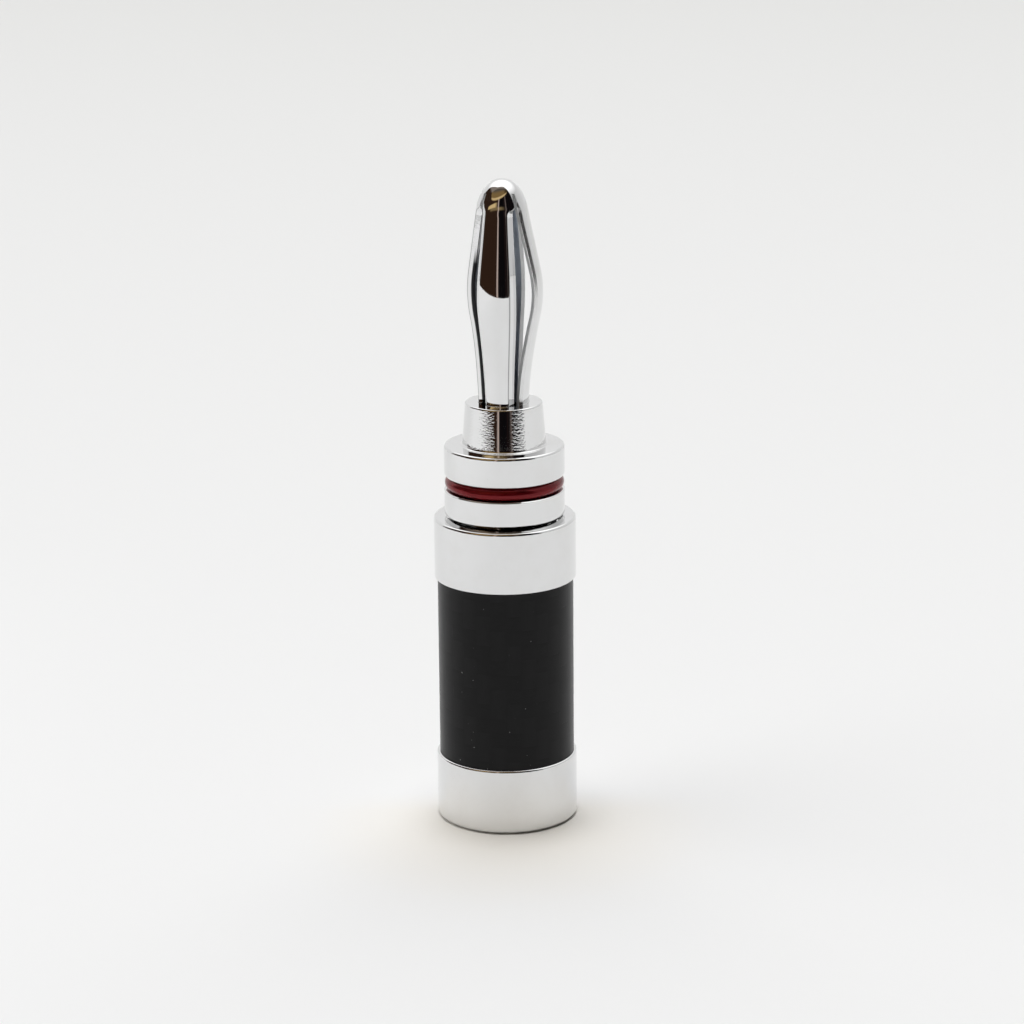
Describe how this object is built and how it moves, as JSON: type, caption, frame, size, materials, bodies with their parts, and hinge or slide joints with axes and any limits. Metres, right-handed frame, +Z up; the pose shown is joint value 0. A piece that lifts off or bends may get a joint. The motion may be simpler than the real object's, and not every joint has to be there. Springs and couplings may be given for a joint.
{
  "type": "banana plug",
  "caption": "Banana plug standing on its cable end: a sprung pin of bowed leaves on a polished nose with a red ring, screwed into a barrel with a black carbon sleeve.",
  "frame": {"origin": "centre of the end ring's flat face, which the plug stands on", "axes": "+Z up the plug's axis to the tip of the pin; -Y is the side that the picture shows"},
  "size_m": [0.011, 0.011, 0.0506],
  "materials": {
    "polished_plating": "mirror-polished plating over turned copper alloy",
    "carbon_weave": "clear gloss lacquer over a fine carbon weave",
    "red_ring": "glossy dark red",
    "screw_steel": "dark steel, machined"
  },
  "bodies": {
    "barrel": {"end_ring": "polished_plating", "carbon_sleeve": "carbon_weave", "barrel_core": "polished_plating"},
    "colour_ring": {"polarity_ring": "red_ring"},
    "contact": {"nose_body": "polished_plating", "spring_pin": "polished_plating"},
    "upper_screw": {"clamp_screw_upper": "screw_steel"},
    "lower_screw": {"clamp_screw_lower": "screw_steel"}
  },
  "joints": [
    {"name": "nose_lift", "type": "slide", "parent": "barrel", "child": "colour_ring", "axis": [0, 0, 1], "range_m": [0, 0.006]},
    {"name": "nose_turn", "type": "hinge", "parent": "colour_ring", "child": "contact", "pos_m": [0, 0, 0.0244], "axis": [0, 0, 1], "range_deg": [0, 2880]},
    {"name": "upper_screw_feed", "type": "slide", "parent": "contact", "child": "upper_screw", "axis": [0, 1, 0], "range_m": [0, 0.001]},
    {"name": "lower_screw_feed", "type": "slide", "parent": "contact", "child": "lower_screw", "axis": [0, 1, 0], "range_m": [0, 0.001]}
  ],
  "couplings": [
    {"joint": "nose_turn", "follows": "nose_lift", "rad_per_m": 8377.6}
  ]
}
